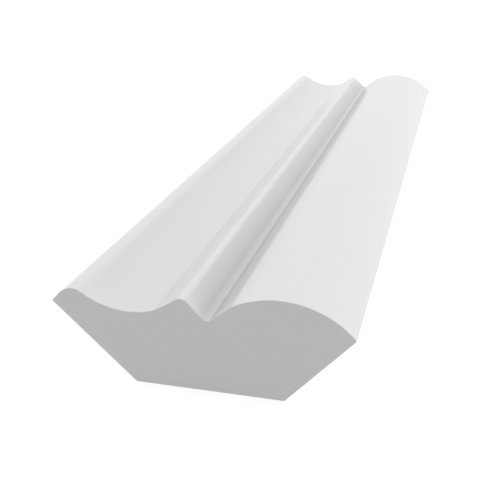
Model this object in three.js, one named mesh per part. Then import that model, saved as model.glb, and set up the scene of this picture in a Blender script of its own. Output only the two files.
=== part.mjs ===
// A bed moulding: a short straight length of white trim that fills the corner between a wall
// and a ceiling or soffit. It is one solid piece with the same section from end to end.
//
// It lies on its flat back. +X runs across it, from the tip that meets the wall to the tip that
// meets the ceiling, +Y runs along it and +Z points up, out of its moulded face. The origin is
// under the middle of it, on the surface it lies on.

import * as THREE from 'three';

// Driving dimensions in millimetres.
const pieceLength = 233; // length of the piece, cut square at both ends
const backWidth = 28.3; // flat back between the two seats
const wallSeatWidth = 22; // slanted face that bears on the wall
const ceilingSeatWidth = 18.5; // slanted face that bears on the ceiling
const lipEdgeWidth = 2.4; // flat edge that leaves the wall seat square
const lipRadius = 3.4; // rounded lip above that edge
const coveRadius = 16; // broad hollow between the lip and the bead
const bevelRadius = 42; // bevel that climbs from the cove to the bead, hollow by a hair
const beadRadius = 1.6; // rounded ridge
const quirkFallWidth = 3.85; // flat side of the groove under the bead
const quirkRadius = 2.1; // hollow at the bottom of that side
const quirkFootRadius = 0.3; // tight bend at the very bottom, where the other side starts
const quirkRiseWidth = 4.6; // flat side of the groove under the ovolo
const ovoloShoulderRadius = 4; // tighter bend by which the ovolo starts
const ovoloCrown = 3.85; // how far the ovolo swells above a straight line between its ends

// Slopes in degrees off the flat back, positive where the face climbs towards the ceiling side.
const wallSeatSlope = 42.5;
const lipFallSlope = -34.5; // where the lip turns over into the cove
const coveEndSlope = 17.5; // where the cove meets the bevel in a crisp line
const bevelStartSlope = 28;
const bevelEndSlope = 35;
const quirkFallSlope = -45.5;
const quirkFootSlope = -3; // nearly level, where the hollow runs into the tight bend
const quirkRiseSlope = 39.5;
const ovoloStartSlope = 27.6; // where the shoulder runs into the broad swell

// Largest turn between two neighbouring facets of a rounded stretch, in degrees.
const facetTurn = 2;

const degree = Math.PI / 180;

// A point that lies at a distance and a slope from another.
function stepFrom(point, distance, slope) {
  const angle = slope * degree;
  return new THREE.Vector2(
    point.x + distance * Math.cos(angle),
    point.y + distance * Math.sin(angle),
  );
}

// Carries an outline on along a straight line.
function addStraight(outline, width, slope) {
  outline.push(stepFrom(outline.at(-1), width, slope));
}

// Carries an outline on round an arc about a centre, from its last point.
function addArc(outline, centre, radius, startAngle, turn) {
  const arc = new THREE.EllipseCurve(
    centre.x, centre.y, radius, radius,
    startAngle * degree, (startAngle + turn) * degree, turn < 0,
  );
  const facets = Math.ceil(Math.abs(turn) / facetTurn);
  outline.push(...arc.getPoints(facets).slice(1));
}

// Carries an outline on from one slope to another, tangent to both. A growing slope makes a
// hollow, with its centre above the face, and a falling slope makes a round.
function addBend(outline, radius, startSlope, endSlope) {
  const side = Math.sign(endSlope - startSlope);
  const centre = stepFrom(outline.at(-1), radius, startSlope + side * 90);
  addArc(outline, centre, radius, startSlope - side * 90, endSlope - startSlope);
}

// Carries an outline on to a point, round an arc that swells above the straight line by a crown.
function addCrownedArc(outline, end, crown) {
  const start = outline.at(-1);
  const chord = end.clone().sub(start);
  const chordSlope = Math.atan2(chord.y, chord.x) / degree;
  const halfTurn = 2 * Math.atan2(2 * crown, chord.length()) / degree;
  const radius = chord.length() / (2 * Math.sin(halfTurn * degree));
  const centre = stepFrom(start, radius, chordSlope + halfTurn - 90);
  addArc(outline, centre, radius, chordSlope + halfTurn + 90, -2 * halfTurn);
}

// The two seats are square to each other, as the wall and the ceiling are. The section's own
// x is 0 where the wall seat meets the back, and its y is the height above the back.
const ceilingSeatSlope = 90 - wallSeatSlope;
const wallEdgeOfBack = new THREE.Vector2(0, 0);
const ceilingEdgeOfBack = new THREE.Vector2(backWidth, 0);
const wallTip = stepFrom(wallEdgeOfBack, wallSeatWidth, 180 - wallSeatSlope);
const ceilingTip = stepFrom(ceilingEdgeOfBack, ceilingSeatWidth, ceilingSeatSlope);

// The moulded face, from the wall tip: lip, cove, bevel, bead, quirk, and the ovolo that closes
// on the ceiling tip.
function makeSection() {
  const lipEdgeSlope = 90 - wallSeatSlope;
  const outline = [wallTip];
  addStraight(outline, lipEdgeWidth, lipEdgeSlope);
  addBend(outline, lipRadius, lipEdgeSlope, lipFallSlope);
  addBend(outline, coveRadius, lipFallSlope, coveEndSlope);
  addBend(outline, bevelRadius, bevelStartSlope, bevelEndSlope);
  addBend(outline, beadRadius, bevelEndSlope, quirkFallSlope);
  addStraight(outline, quirkFallWidth, quirkFallSlope);
  addBend(outline, quirkRadius, quirkFallSlope, quirkFootSlope);
  addBend(outline, quirkFootRadius, quirkFootSlope, quirkRiseSlope);
  addStraight(outline, quirkRiseWidth, quirkRiseSlope);
  addBend(outline, ovoloShoulderRadius, quirkRiseSlope, ovoloStartSlope);
  addCrownedArc(outline, ceilingTip, ovoloCrown);
  outline.push(ceilingEdgeOfBack, wallEdgeOfBack);
  return new THREE.Shape(outline);
}

// The moulding: the section drawn out along the length. The section is laid on its back and
// centred between its two tips and its two ends.
function makeMoulding() {
  const geometry = new THREE.ExtrudeGeometry(makeSection(), {
    depth: pieceLength,
    bevelEnabled: false,
  });
  const whiteTrim = new THREE.MeshStandardMaterial({
    color: 0xf1f1f0,
    roughness: 0.55,
    metalness: 0,
  });
  const moulding = new THREE.Mesh(geometry, whiteTrim);
  moulding.name = 'bed_moulding';
  moulding.rotation.x = Math.PI / 2;
  moulding.position.x = -(wallTip.x + ceilingTip.x) / 2;
  moulding.position.y = pieceLength / 2;
  return moulding;
}

const part = new THREE.Group();
part.add(makeMoulding());

export default part;
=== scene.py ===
# %% [markdown]
# # A short length of bed moulding
# A bed moulding is the strip of trim that fills the corner between a wall and a ceiling, or
# sits under a cornice. This one is a straight piece of white moulding, the same section from
# end to end, cut square and lying on its flat back with its moulded face up.
# The solid model it is dressed from is the frame: it gives the size and the place. Here the
# face gets its true round curves, its eased edges, its finish and its light.

# %% Load the frame
import math

import bpy
from mathutils import Euler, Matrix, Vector


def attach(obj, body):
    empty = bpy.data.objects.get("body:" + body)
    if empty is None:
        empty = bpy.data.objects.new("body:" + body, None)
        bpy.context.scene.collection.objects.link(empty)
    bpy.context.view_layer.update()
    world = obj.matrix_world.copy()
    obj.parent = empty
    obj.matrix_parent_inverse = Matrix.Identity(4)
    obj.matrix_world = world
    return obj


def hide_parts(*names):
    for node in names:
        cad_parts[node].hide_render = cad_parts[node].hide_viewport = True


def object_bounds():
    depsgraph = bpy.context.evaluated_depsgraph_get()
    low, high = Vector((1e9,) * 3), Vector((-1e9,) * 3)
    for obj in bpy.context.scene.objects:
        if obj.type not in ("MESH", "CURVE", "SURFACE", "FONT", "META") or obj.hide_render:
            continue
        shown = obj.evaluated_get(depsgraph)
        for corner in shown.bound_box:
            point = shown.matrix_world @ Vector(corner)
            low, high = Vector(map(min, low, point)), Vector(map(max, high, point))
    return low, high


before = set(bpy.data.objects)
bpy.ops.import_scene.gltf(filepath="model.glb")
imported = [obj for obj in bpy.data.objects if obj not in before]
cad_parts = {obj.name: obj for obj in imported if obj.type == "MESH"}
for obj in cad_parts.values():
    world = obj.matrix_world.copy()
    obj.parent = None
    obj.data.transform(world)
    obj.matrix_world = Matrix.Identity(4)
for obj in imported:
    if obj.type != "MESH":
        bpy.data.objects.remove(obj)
cad_low, cad_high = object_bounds()
scene = bpy.context.scene
print("frame from", tuple(cad_low), "to", tuple(cad_high))

# %% [markdown]
# ## The section
# A moulding is run through a machine with a shaped knife or pushed through a die, so its whole
# form is one outline. That outline could be traced as a row of points, but then nobody could
# read or change it. It is drawn here the way a joiner sets it out, with a pen that always
# knows the slope it is on: a straight of a given width, or a bend of a given radius from one
# slope to the next. The members follow each other from the wall side: lip, cove, bevel, bead,
# quirk and ovolo. The bevel looks flat, but the band of light on it narrows too fast for a flat
# face, so it is set out as a bend that is hollow by a hair. The quirk is the narrow groove: a
# flat side that falls from the bead, a small hollow, a bend so tight that it shows as a crisp
# line, and a flat side that climbs to the shoulder of the ovolo. The shoulder is a short round
# that shows only as a soft change of tone, and the ovolo swells on from it to the ceiling tip.

# %% Sizes of the section
MM = 0.001  # Blender counts in metres

back_width = 28.3 * MM
wall_seat_width = 22 * MM
ceiling_seat_width = 18.5 * MM
lip_edge_width = 2.4 * MM
lip_radius = 3.4 * MM
cove_radius = 16 * MM
bevel_radius = 42 * MM
bead_radius = 1.6 * MM
quirk_fall_width = 3.85 * MM
quirk_radius = 2.1 * MM
quirk_foot_radius = 0.3 * MM
quirk_rise_width = 4.6 * MM
ovolo_shoulder_radius = 4 * MM
ovolo_crown = 3.85 * MM

# Slopes in degrees off the flat back, positive where the face climbs to the ceiling side.
wall_seat_slope = 42.5
ceiling_seat_slope = 90 - wall_seat_slope
lip_edge_slope = 90 - wall_seat_slope
lip_fall_slope = -34.5
cove_end_slope = 17.5
bevel_start_slope = 28
bevel_end_slope = 35
quirk_fall_slope = -45.5
quirk_foot_slope = -3
quirk_rise_slope = 39.5
ovolo_start_slope = 27.6
print("seats at", wall_seat_slope, "and", ceiling_seat_slope, "degrees off the back")

# %% A pen that walks round the outline
face_turn = 2  # degrees between two points of a round stretch


def step_from(point, distance, slope):
    """The point at a distance and a slope from another. Points are (across, up)."""
    angle = math.radians(slope)
    return (point[0] + distance * math.cos(angle), point[1] + distance * math.sin(angle))


def add_straight(outline, width, slope):
    outline.append(step_from(outline[-1], width, slope))


def add_arc(outline, centre, radius, start_angle, turn, largest_turn=face_turn):
    steps = math.ceil(abs(turn) / largest_turn)
    for step in range(1, steps + 1):
        outline.append(step_from(centre, radius, start_angle + turn * step / steps))


def add_bend(outline, radius, start_slope, end_slope):
    """Goes from one slope to another, tangent to both: a hollow if it grows, else a round."""
    side = 1 if end_slope > start_slope else -1
    centre = step_from(outline[-1], radius, start_slope + side * 90)
    add_arc(outline, centre, radius, start_slope - side * 90, end_slope - start_slope)


def add_crowned_arc(outline, end, crown):
    """Goes to a point on an arc that swells above the straight line by its crown."""
    start = outline[-1]
    chord = math.dist(start, end)
    chord_slope = math.degrees(math.atan2(end[1] - start[1], end[0] - start[0]))
    half_turn = math.degrees(2 * math.atan2(2 * crown, chord))
    radius = chord / (2 * math.sin(math.radians(half_turn)))
    centre = step_from(start, radius, chord_slope + half_turn - 90)
    add_arc(outline, centre, radius, chord_slope + half_turn + 90, -2 * half_turn)


# %% The outline, from the wall tip over the face and back under it
wall_edge = (0.0, 0.0)
ceiling_edge = (back_width, 0.0)
wall_tip = step_from(wall_edge, wall_seat_width, 180 - wall_seat_slope)
ceiling_tip = step_from(ceiling_edge, ceiling_seat_width, ceiling_seat_slope)

outline = [wall_tip]
corners = {"wall tip": 0}
add_straight(outline, lip_edge_width, lip_edge_slope)
add_bend(outline, lip_radius, lip_edge_slope, lip_fall_slope)
add_bend(outline, cove_radius, lip_fall_slope, cove_end_slope)
corners["cove to bevel"] = len(outline) - 1
add_bend(outline, bevel_radius, bevel_start_slope, bevel_end_slope)
add_bend(outline, bead_radius, bevel_end_slope, quirk_fall_slope)
add_straight(outline, quirk_fall_width, quirk_fall_slope)
add_bend(outline, quirk_radius, quirk_fall_slope, quirk_foot_slope)
add_bend(outline, quirk_foot_radius, quirk_foot_slope, quirk_rise_slope)
add_straight(outline, quirk_rise_width, quirk_rise_slope)
add_bend(outline, ovolo_shoulder_radius, quirk_rise_slope, ovolo_start_slope)
add_crowned_arc(outline, ceiling_tip, ovolo_crown)
corners["ceiling tip"] = len(outline) - 1
outline += [ceiling_edge, wall_edge]
corners["ceiling edge of the back"] = len(outline) - 2
corners["wall edge of the back"] = len(outline) - 1
print("outline:", len(outline), "points, corners at", corners)

# %% [markdown]
# ## Eased corners
# No real moulding has a mathematically sharp corner. The knife, the sanding and the coat of
# white leave each arris a hair round, and that hair is what catches a thin line of light. A
# Bevel modifier could round them, but it can't tell a corner from the facets of a curve, so
# each corner of the outline is cut back here by a small arc that meets both its neighbours. The
# line where the cove meets the bevel is softer than the four outer arrises.

# %% Ease the corners
corner_radii = {
    "wall tip": 0.25 * MM,
    "cove to bevel": 1.2 * MM,
    "ceiling tip": 0.25 * MM,
    "ceiling edge of the back": 0.4 * MM,
    "wall edge of the back": 0.4 * MM,
}
corner_turn = 6  # degrees between two points of an eased corner


def eased_corner(before, corner, after, radius):
    """The small arc that takes the place of a corner, as points."""
    slope_in = math.degrees(math.atan2(corner[1] - before[1], corner[0] - before[0]))
    slope_out = math.degrees(math.atan2(after[1] - corner[1], after[0] - corner[0]))
    turn = (slope_out - slope_in + 180) % 360 - 180
    side = 1 if turn > 0 else -1
    cut = radius * math.tan(math.radians(abs(turn) / 2))
    start = step_from(corner, -cut, slope_in)
    arc = [start]
    centre = step_from(start, radius, slope_in + side * 90)
    add_arc(arc, centre, radius, slope_in - side * 90, turn, corner_turn)
    return arc


eased = []
radius_at = {corners[name]: radius for name, radius in corner_radii.items()}
for i, point in enumerate(outline):
    if i in radius_at:
        after = outline[(i + 1) % len(outline)]
        eased += eased_corner(outline[i - 1], point, after, radius_at[i])
    else:
        eased.append(point)
print("eased outline:", len(eased), "points")

# %% Lay the outline in the frame's own place, as a loop of edges
section_middle = (wall_tip[0] + ceiling_tip[0]) / 2
places = [(across - section_middle, 0, up) for across, up in eased]
loop = [(i, (i + 1) % len(places)) for i in range(len(places))]

moulding_mesh = bpy.data.meshes.new("bed_moulding_outline")
moulding_mesh.from_pydata(places, loop, [])
moulding = bpy.data.objects.new("bed_moulding_run", moulding_mesh)
scene.collection.objects.link(moulding)

reach = [max(p[axis] for p in places) for axis in (0, 2)]
print("outline reaches", reach, "and the frame", (cad_high[0], cad_high[2]))

# %% [markdown]
# ## Finish of the moulded face
# The face is a smooth white, between satin and gloss. Its gloss is easy to miss, because white
# light comes from almost everywhere, but it shows where the face mirrors itself: the bevel and
# the far side of the quirk look darker for as long as they reflect the moulding rather than
# the bright room. A plain diffuse white would lose those bands, so the roughness matters more
# here than the colour. Faint streaks run along the length, as the run through the machine
# leaves them, under a fine skin texture.
#
# A white as light as this one bounces so much light round its own hollows that they fill up and
# the members melt together. The quirk and the cove of the real piece stay greyer than that, so
# painted shade is put into the white: it is dimmed where the shape closes round a spot, which an
# Ambient Occlusion node finds.

# %% Helpers for node trees
openness_samples = 8  # rays that an Ambient Occlusion node sends out at each spot
bump_height = 0.02 * MM


def add_node(tree, kind, values=None, **settings):
    """Adds a node, with its settings and the plain values of its inputs."""
    node = tree.nodes.new(kind)
    for name, value in settings.items():
        setattr(node, name, value)
    for name, value in (values or {}).items():
        node.inputs[name].default_value = value
    return node


def new_material(name):
    """An empty material with its surface shader joined to the output."""
    material = bpy.data.materials.new(name)
    material.use_nodes = True
    tree = material.node_tree
    tree.nodes.clear()
    shader = add_node(tree, "ShaderNodeBsdfPrincipled")
    output = add_node(tree, "ShaderNodeOutputMaterial")
    tree.links.new(shader.outputs["BSDF"], output.inputs["Surface"])
    return material, tree, shader


def object_noise(tree, stretch, scale, detail):
    """Noise on the object's own coordinates, drawn out along each axis by its stretch."""
    place = add_node(tree, "ShaderNodeTexCoord")
    mapping = add_node(tree, "ShaderNodeMapping", {"Scale": [1 / s for s in stretch]})
    noise = add_node(tree, "ShaderNodeTexNoise", {"Scale": scale, "Detail": detail})
    tree.links.new(place.outputs["Object"], mapping.inputs["Vector"])
    tree.links.new(mapping.outputs["Vector"], noise.inputs["Vector"])
    return noise.outputs["Fac"]


noise_span = (0.3, 0.7)  # noise seldom leaves this span, so a ramp over it uses both its ends


def shade_between(tree, fac, dark, light):
    """A colour that runs between two greys as its factor crosses the span of a noise."""
    ramp = add_node(tree, "ShaderNodeValToRGB")
    for element, position, grey in zip(ramp.color_ramp.elements, noise_span, (dark, light)):
        element.position = position
        element.color = (grey, grey, grey, 1)
    tree.links.new(fac, ramp.inputs["Fac"])
    return ramp.outputs["Color"]


def number_between(tree, fac, low, high):
    """A number that runs between two values with its factor."""
    spread = add_node(tree, "ShaderNodeMapRange", {"To Min": low, "To Max": high})
    tree.links.new(fac, spread.inputs["Value"])
    return spread.outputs["Result"]


def paint_shade_in_hollows(tree, colour, depth, reach):
    """Painted shade: the colour, dimmed by up to a depth where the piece itself closes in within a
    reach.
    """
    openness = add_node(
        tree, "ShaderNodeAmbientOcclusion", {"Distance": reach},
        samples=openness_samples, only_local=True,
    )
    share_kept = number_between(tree, openness.outputs["AO"], 1 - depth, 1)
    dimmed = add_node(tree, "ShaderNodeVectorMath", operation="SCALE")
    tree.links.new(colour, dimmed.inputs[0])
    tree.links.new(share_kept, dimmed.inputs["Scale"])
    return dimmed.outputs["Vector"]


def raised(tree, height, strength, normal=None):
    """A normal that is tipped as if the surface rose and fell by a height, on top of another."""
    bump = add_node(tree, "ShaderNodeBump", {"Strength": strength, "Distance": bump_height})
    tree.links.new(height, bump.inputs["Height"])
    if normal is not None:
        tree.links.new(normal, bump.inputs["Normal"])
    return bump.outputs["Normal"]


# %% The moulded white
face_darkest, face_lightest = 0.767, 0.773
face_smoothest, face_roughest = 0.195, 0.205
face_gloss = 1.5  # index of refraction of a hard white plastic
streak_length = 60  # times its width
skin_length = 1.6  # the same for the skin's texture
streaks_a_metre, streak_detail = 900, 2
skin_grains_a_metre, skin_detail = 1400, 1
skin_strength = 0.12
# painted shade in the hollows: how much the white is darkened, and how far off the piece's own shape
# counts
painted_shade_depth = 0.85
painted_shade_reach = 40 * MM

moulded_white, tree, shader = new_material("moulded_white")
streaks = object_noise(tree, (1, streak_length, 1), streaks_a_metre, streak_detail)
skin = object_noise(tree, (1, skin_length, 1), skin_grains_a_metre, skin_detail)
streaked = shade_between(tree, streaks, face_darkest, face_lightest)
# painted shade: the white is darkened in its hollows, where the piece shades itself
white_with_painted_shade = paint_shade_in_hollows(tree, streaked, painted_shade_depth, painted_shade_reach)
face_roughness = number_between(tree, streaks, face_smoothest, face_roughest)
tree.links.new(white_with_painted_shade, shader.inputs["Base Color"])
tree.links.new(face_roughness, shader.inputs["Roughness"])
tree.links.new(raised(tree, skin, skin_strength), shader.inputs["Normal"])
shader.inputs["IOR"].default_value = face_gloss
print(moulded_white.name, "has", len(tree.nodes), "nodes")

# %% [markdown]
# ## Finish of the sawn ends
# The body is white right through, so a cut end is the same white without the skin: matt, with
# the fine grain of the core and the faint curved scratches of the saw blade. The scratches are
# rings about the blade's hub, far below the piece, so only flat arcs of them cross the end.
# A sawn end is set a shade greyer than the skin as painted shade: for the tiny shadows its grain holds,
# and for an end that faces the dark, open side of the tent.

# %% The sawn white
saw_hub = (0.04, 0, -0.11)  # centre of the blade, in metres in the object's own place
saw_pitch = 0.9 * MM  # from one scratch to the next
ring_spacing = 0.314  # metres from ring to ring in a Wave Texture whose scale is 1
scratch_waver = {"Distortion": 1.5, "Detail": 2, "Detail Scale": 1.5}
grains_a_metre, grain_detail = 2600, 2
# the end's greys hold painted shade: they are set below the face's white, for an end that faces the dark
# side
shaded_end_darkest, shaded_end_lightest = 0.66, 0.69
end_smoothest, end_roughest = 0.5, 0.62
end_gloss = 1.45
grain_strength, scratch_strength = 0.15, 0.1

sawn_white, tree, shader = new_material("sawn_white")
place = add_node(tree, "ShaderNodeTexCoord")
hub = add_node(tree, "ShaderNodeMapping", {"Location": [-v for v in saw_hub]})
scratches = add_node(
    tree, "ShaderNodeTexWave", {"Scale": ring_spacing / saw_pitch, **scratch_waver},
    wave_type="RINGS", rings_direction="Y",
)
tree.links.new(place.outputs["Object"], hub.inputs["Vector"])
tree.links.new(hub.outputs["Vector"], scratches.inputs["Vector"])
grain = object_noise(tree, (1, 1, 1), grains_a_metre, grain_detail)
grainy = raised(tree, grain, grain_strength)
sawn = raised(tree, scratches.outputs["Fac"], scratch_strength, grainy)
end_grey_with_painted_shade = shade_between(tree, grain, shaded_end_darkest, shaded_end_lightest)
end_roughness = number_between(tree, grain, end_smoothest, end_roughest)
tree.links.new(end_grey_with_painted_shade, shader.inputs["Base Color"])
tree.links.new(end_roughness, shader.inputs["Roughness"])
tree.links.new(sawn, shader.inputs["Normal"])
shader.inputs["IOR"].default_value = end_gloss
print(sawn_white.name, "has", len(tree.nodes), "nodes")

# %% [markdown]
# ## Drawing the section out to its length
# The machine pushes the same section past itself, and Geometry Nodes can do the same: the loop
# of edges becomes a profile curve, a straight line gives the run, and Curve to Mesh draws one
# along the other and fills the ends. An Extrude would do for a bare prism, but the run keeps
# the length, the broken edge of the saw cut and both finishes as inputs that can be turned at
# will. The line has four stations: one at each end and one a broken edge in from it. The two
# end rings are drawn in by the same width, against the slope of the face, so a saw cut ends in
# a tiny flat chamfer instead of a razor edge.

# %% The node tree that makes the run


def new_run_tree():
    tree = bpy.data.node_groups.new("draw out a moulding", "GeometryNodeTree")
    face = tree.interface
    face.new_socket("Outline", in_out="INPUT", socket_type="NodeSocketGeometry")
    face.new_socket("Length", in_out="INPUT", socket_type="NodeSocketFloat")
    face.new_socket("Broken Edge", in_out="INPUT", socket_type="NodeSocketFloat")
    face.new_socket("Face Finish", in_out="INPUT", socket_type="NodeSocketMaterial")
    face.new_socket("End Finish", in_out="INPUT", socket_type="NodeSocketMaterial")
    face.new_socket("Moulding", in_out="OUTPUT", socket_type="NodeSocketGeometry")
    return tree


run_tree = new_run_tree()
link = run_tree.links.new
given = add_node(run_tree, "NodeGroupInput")


def math_node(operation, first, second=None):
    """A sum on two numbers, each a socket or a plain value."""
    node = add_node(run_tree, "ShaderNodeMath", operation=operation)
    for socket, value in zip(node.inputs, (first, second)):
        if isinstance(value, (int, float)):
            socket.default_value = value
        elif value is not None:
            link(value, socket)
    return node.outputs[0]


# %% The line it runs along: four stations, two at each end, a broken edge apart
station_count = 4
middle_index = (station_count - 1) / 2  # halfway between the first station, 0, and the last

half_length = math_node("MULTIPLY", given.outputs["Length"], 0.5)
inner_half = math_node("SUBTRACT", half_length, given.outputs["Broken Edge"])

line = add_node(run_tree, "GeometryNodeCurvePrimitiveLine")
line.inputs["Start"].default_value = (0, -1, 0)
line.inputs["End"].default_value = (0, 1, 0)
bare_stations = add_node(run_tree, "GeometryNodeResampleCurve", {"Count": station_count})
link(line.outputs["Curve"], bare_stations.inputs["Curve"])

index = add_node(run_tree, "GeometryNodeInputIndex").outputs["Index"]
from_middle = math_node("SUBTRACT", index, middle_index)
is_end = math_node("GREATER_THAN", math_node("ABSOLUTE", from_middle), 1)
reach_here = add_node(run_tree, "ShaderNodeMix", data_type="FLOAT")
link(is_end, reach_here.inputs["Factor"])
link(inner_half, reach_here.inputs["A"])
link(half_length, reach_here.inputs["B"])
along = math_node("MULTIPLY", math_node("SIGN", from_middle), reach_here.outputs["Result"])

station = add_node(run_tree, "ShaderNodeCombineXYZ")
link(along, station.inputs["Y"])
stations = add_node(run_tree, "GeometryNodeSetPosition")
link(bare_stations.outputs["Curve"], stations.inputs["Geometry"])
link(station.outputs["Vector"], stations.inputs["Position"])

# %% The sweep: a profile's own Y comes out pointing down, so the outline is tipped over first
profile = add_node(run_tree, "GeometryNodeMeshToCurve")
link(given.outputs["Outline"], profile.inputs["Mesh"])
tipped = add_node(run_tree, "GeometryNodeTransform", {"Rotation": Euler((math.pi / 2, 0, 0))})
link(profile.outputs["Curve"], tipped.inputs["Geometry"])
sweep = add_node(run_tree, "GeometryNodeCurveToMesh", {"Fill Caps": True})
link(stations.outputs["Geometry"], sweep.inputs["Curve"])
link(tipped.outputs["Geometry"], sweep.inputs["Profile Curve"])

# %% The broken edge: the two end rings move in against the slope of the face
spot = add_node(run_tree, "ShaderNodeSeparateXYZ")
link(add_node(run_tree, "GeometryNodeInputPosition").outputs["Position"], spot.inputs["Vector"])
normal = add_node(run_tree, "GeometryNodeInputNormal").outputs["Normal"]
middle_of_edge = math_node(
    "SUBTRACT", half_length, math_node("MULTIPLY", given.outputs["Broken Edge"], 0.5)
)
on_end_ring = math_node("GREATER_THAN", math_node("ABSOLUTE", spot.outputs["Y"]), middle_of_edge)

sideways = add_node(run_tree, "ShaderNodeVectorMath", operation="MULTIPLY")
sideways.inputs[1].default_value = (1, 0, 1)
link(normal, sideways.inputs[0])
unit = add_node(run_tree, "ShaderNodeVectorMath", operation="NORMALIZE")
link(sideways.outputs["Vector"], unit.inputs[0])
inwards = add_node(run_tree, "ShaderNodeVectorMath", operation="SCALE")
link(unit.outputs["Vector"], inwards.inputs[0])
link(math_node("MULTIPLY", given.outputs["Broken Edge"], -1), inwards.inputs["Scale"])

broken = add_node(run_tree, "GeometryNodeSetPosition")
link(sweep.outputs["Mesh"], broken.inputs["Geometry"])
link(on_end_ring, broken.inputs["Selection"])
link(inwards.outputs["Vector"], broken.inputs["Offset"])

# %% Shading and finishes: the face is smooth, the chamfers and the sawn ends are flat
face_turned_to_end = 0.3  # a chamfer looks along the length by about 0.7, the face by nothing
sawn_turned_to_end = 0.9

facing = add_node(run_tree, "ShaderNodeSeparateXYZ")
link(normal, facing.inputs["Vector"])
end_facing = math_node("ABSOLUTE", facing.outputs["Y"])
is_face = math_node("LESS_THAN", end_facing, face_turned_to_end)
is_sawn = math_node("GREATER_THAN", end_facing, sawn_turned_to_end)

shaded = add_node(run_tree, "GeometryNodeSetShadeSmooth")
link(broken.outputs["Geometry"], shaded.inputs["Geometry"])
link(is_face, shaded.inputs["Shade Smooth"])
face_finish = add_node(run_tree, "GeometryNodeSetMaterial")
link(shaded.outputs["Geometry"], face_finish.inputs["Geometry"])
link(given.outputs["Face Finish"], face_finish.inputs["Material"])
realized = add_node(run_tree, "GeometryNodeRealizeInstances")
link(face_finish.outputs["Geometry"], realized.inputs["Geometry"])
end_finish = add_node(run_tree, "GeometryNodeSetMaterial")
link(realized.outputs["Geometry"], end_finish.inputs["Geometry"])
link(is_sawn, end_finish.inputs["Selection"])
link(given.outputs["End Finish"], end_finish.inputs["Material"])
result = add_node(run_tree, "NodeGroupOutput")
link(end_finish.outputs["Geometry"], result.inputs["Moulding"])
print("run tree:", len(run_tree.nodes), "nodes")

# %% Draw it out
broken_edge = 0.05 * MM

run_inputs = {
    "Length": cad_high[1] - cad_low[1],
    "Broken Edge": broken_edge,
    "Face Finish": moulded_white,
    "End Finish": sawn_white,
}
run = moulding.modifiers.new("run", "NODES")
run.node_group = run_tree
for item in run_tree.interface.items_tree:
    if item.name in run_inputs:
        run[item.identifier] = run_inputs[item.name]
print("run:", round(run_inputs["Length"] / MM), "mm, edges broken by", broken_edge / MM, "mm")

# %% Keep the result as a plain mesh
bpy.context.view_layer.update()
seen = moulding.evaluated_get(bpy.context.evaluated_depsgraph_get())
finished_mesh = bpy.data.meshes.new_from_object(seen)
moulding.modifiers.remove(run)
moulding.data = finished_mesh
bpy.data.meshes.remove(moulding_mesh)
triangles = sum(len(face.vertices) - 2 for face in finished_mesh.polygons)
print("moulding:", triangles, "triangles, materials", [m.name for m in finished_mesh.materials])

# %% [markdown]
# ## Where the piece belongs
# The dressed moulding stands for the solid of the same name and moves with the only body.

# %% Hand the piece to the frame
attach(moulding, "root")
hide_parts("bed_moulding")
print(moulding.name, "stands for bed_moulding")

# %% [markdown]
# ## Floor
# Small things are often photographed on a sheet of white acrylic lit from below, so that the
# ground turns out an even white and throws no dark shadow round the piece. A plain pale plane
# stands for it here, with a glow of its own. The more of its brightness is glow, the fainter is
# the shadow that the piece throws on it. It lies a tenth of a millimetre under the piece, so
# that the two surfaces never share a plane.

# %% The floor
floor_reach = 4.0  # metres from the middle to each side
floor_drop = 0.1 * MM
floor_grey = 0.3  # what it throws back of the light that falls on it
floor_glow = 0.8
floor_roughness = 0.9

floor_corners = [
    (x * floor_reach, y * floor_reach, -floor_drop) for x, y in ((-1, -1), (1, -1), (1, 1), (-1, 1))
]
floor_mesh = bpy.data.meshes.new("floor")
floor_mesh.from_pydata(floor_corners, [], [(0, 1, 2, 3)])
floor = bpy.data.objects.new("floor", floor_mesh)
scene.collection.objects.link(floor)
pale_floor, tree, shader = new_material("pale_floor")
shader.inputs["Base Color"].default_value = (floor_grey, floor_grey, floor_grey, 1)
shader.inputs["Emission Color"].default_value = (1, 1, 1, 1)
shader.inputs["Emission Strength"].default_value = floor_glow
shader.inputs["Roughness"].default_value = floor_roughness
shader.inputs["Specular IOR Level"].default_value = 0.0  # no gloss at all
floor_mesh.materials.append(pale_floor)
print("floor: grey", floor_grey, "and glow", floor_glow)

# %% [markdown]
# ## Light
# White on white only shows its shape when the light isn't the same from all sides. The piece
# lies in a tent of white cloth that is open, and dark, on the viewer's side: the sides and the
# top of the tent are bright, the far wall is about half as bright. A lamp could not do this
# alone, since a glossy white mirrors whatever is round it, so the tent is the world itself, with
# its brightness set along the one direction that matters here, from the viewer to the far wall.
# The white sheet that the piece lies on turns up a little all the way round, so there is a low
# pale edge even on the open side, and no dark sky shows behind the floor from any angle.
# One softbox, high on the right, is added for the lift that the ovolo has over the climbing side
# of the quirk. Filmic tone curves would grey the whites, so the plain one is chosen.

# %% The tent
tent_brightness = 1.83
tent = {  # place from the viewer's side, 0, to the far wall, 1, and the grey there
    0.25: 0.0,
    0.5: 1.0,
    0.75: 0.43,
    1.0: 0.57,
}
sheet_grey = 0.57  # the turned-up edge of the sheet, all the way round
sheet_top = 0.2  # how high it fades out, as the sine of the angle above the floor

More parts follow.
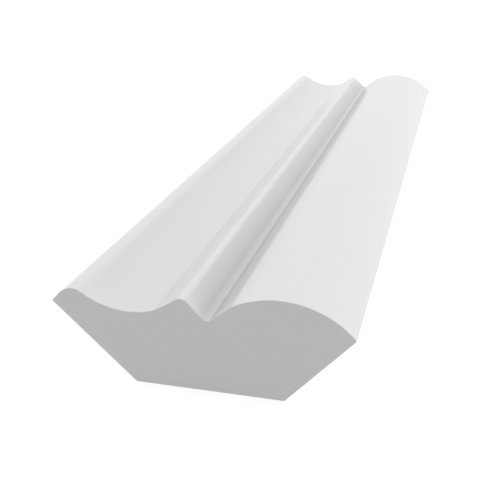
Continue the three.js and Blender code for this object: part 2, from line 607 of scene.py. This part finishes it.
world = bpy.data.worlds.new("white tent")
scene.world = world
world.use_nodes = True
sky = world.node_tree
sky.nodes.clear()
direction = add_node(sky, "ShaderNodeTexCoord")
split = add_node(sky, "ShaderNodeSeparateXYZ")
ahead = add_node(sky, "ShaderNodeMapRange", {"From Min": -1.0, "From Max": 1.0})
ramp = add_node(sky, "ShaderNodeValToRGB")
elements = ramp.color_ramp.elements
for stop, (place_on_ramp, grey) in enumerate(tent.items()):
    element = elements[stop] if stop < len(elements) else elements.new(place_on_ramp)
    element.position = place_on_ramp
    element.color = (grey, grey, grey, 1)
sheet = add_node(
    sky, "ShaderNodeMapRange",
    {"From Min": 0.0, "From Max": sheet_top, "To Min": sheet_grey, "To Max": 0.0},
)
brighter = add_node(sky, "ShaderNodeMath", operation="MAXIMUM")
light = add_node(sky, "ShaderNodeBackground", {"Strength": tent_brightness})
out = add_node(sky, "ShaderNodeOutputWorld")
sky.links.new(direction.outputs["Generated"], split.inputs["Vector"])
sky.links.new(split.outputs["Y"], ahead.inputs["Value"])
sky.links.new(ahead.outputs["Result"], ramp.inputs["Fac"])
sky.links.new(split.outputs["Z"], sheet.inputs["Value"])
sky.links.new(ramp.outputs["Color"], brighter.inputs[0])
sky.links.new(sheet.outputs["Result"], brighter.inputs[1])
sky.links.new(brighter.outputs["Value"], light.inputs["Color"])
sky.links.new(light.outputs["Background"], out.inputs["Surface"])
print("tent: greys", list(tent.values()), "times", tent_brightness)

# %% The softbox, above and to the right of the piece
softbox_size = 0.6  # metres, a side of the square
softbox_distance = 1.2  # metres from the piece
softbox_elevation = 60  # degrees above the floor, seen from the piece
softbox_glow = 1.5  # as bright as a wall of this strength in the tent

up_and_right = math.radians(softbox_elevation)
softbox_place = softbox_distance * Vector((math.cos(up_and_right), 0, math.sin(up_and_right)))
softbox_light = bpy.data.lights.new("softbox", "AREA")
softbox_light.size = softbox_size
softbox_light.energy = softbox_glow * softbox_size**2 * math.pi
softbox = bpy.data.objects.new("softbox", softbox_light)
softbox.location = softbox_place
softbox.rotation_euler = softbox_place.to_track_quat("Z", "Y").to_euler()
scene.collection.objects.link(softbox)
print("softbox at", tuple(round(v, 3) for v in softbox_place), "m,", round(softbox_light.energy, 3), "W")

# %% Plain tones
scene.view_settings.view_transform = "Standard"
print("view transform:", scene.view_settings.view_transform)

# %% [markdown]
# ## Camera
# The picture was taken from close to the near end, a little to the right of the piece and
# above it, looking down its length. That close, the far end looks less than half as wide as the
# near one. The lens length and the distance are what make both ends come out at the size they
# have in the picture: a longer lens from further off would make the long edges more parallel.

# %% The camera
view_azimuth = 14.65  # degrees to the right of the length
view_elevation = 20.67  # degrees above the floor
view_distance = 145.4 * MM  # to the spot it looks at
view_spot = Vector((7.75 * MM, cad_low[1], 30.3 * MM))
lens_length = 64.12  # millimetres, as photographers count it
sensor_width = 36
nearest_seen = 10 * MM

azimuth, elevation = math.radians(view_azimuth), math.radians(view_elevation)
towards_camera = Vector((
    math.sin(azimuth) * math.cos(elevation),
    -math.cos(azimuth) * math.cos(elevation),
    math.sin(elevation),
))
lens = bpy.data.cameras.new("camera")
lens.lens = lens_length
lens.sensor_width = sensor_width
lens.clip_start = nearest_seen
camera = bpy.data.objects.new("camera", lens)
scene.collection.objects.link(camera)
camera.location = view_spot + view_distance * towards_camera
camera.rotation_euler = towards_camera.to_track_quat("Z", "Y").to_euler()
scene.camera = camera
print("camera at", [round(v / MM, 1) for v in camera.location], "mm, lens", lens_length)
